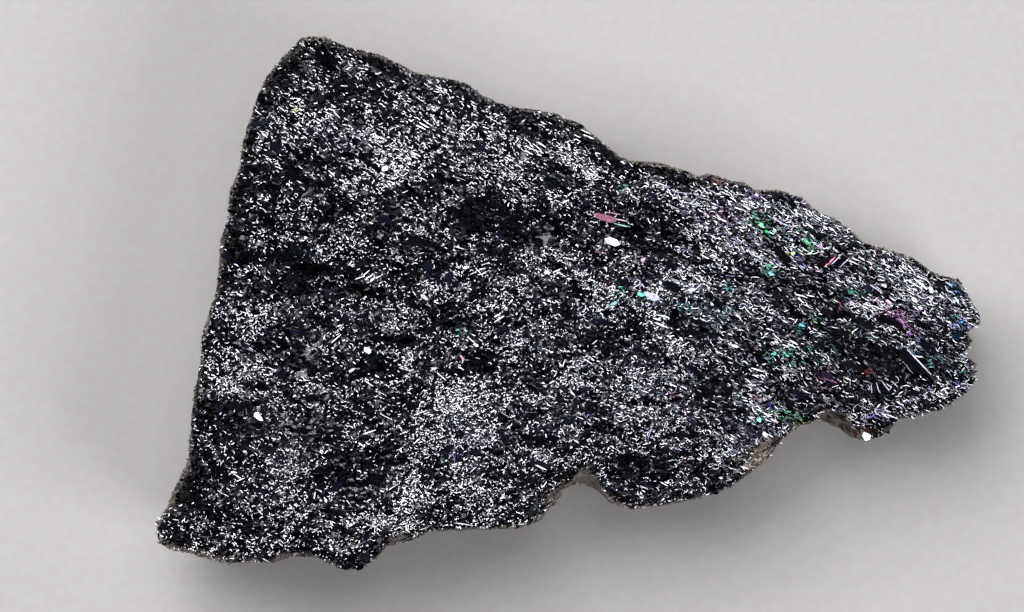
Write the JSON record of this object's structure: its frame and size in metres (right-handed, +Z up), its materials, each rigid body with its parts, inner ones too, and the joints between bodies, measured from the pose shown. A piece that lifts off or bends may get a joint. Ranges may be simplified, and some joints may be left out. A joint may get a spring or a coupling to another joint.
{
  "type": "silicon carbide crystal specimen",
  "caption": "Wedge-shaped lump of intergrown dark silicon carbide crystals with a glittering face, rough broken sides and a flat underside.",
  "frame": {"origin": "centre of the bounding box in plan, on the surface that the specimen lies on", "axes": "+X from the broad end to the narrow end, +Y across the specimen towards its upper corner, +Z up out of the crystal face"},
  "size_m": [0.1191, 0.0767, 0.0347],
  "materials": {
    "silicon_carbide": "intergrown crystals with bright glassy to semi-metallic faces, nearly black with white glints, and a thin rainbow tarnish towards the narrow end"
  },
  "bodies": {
    "root": {"silicon_carbide_crystals": "silicon_carbide"}
  },
  "joints": []
}
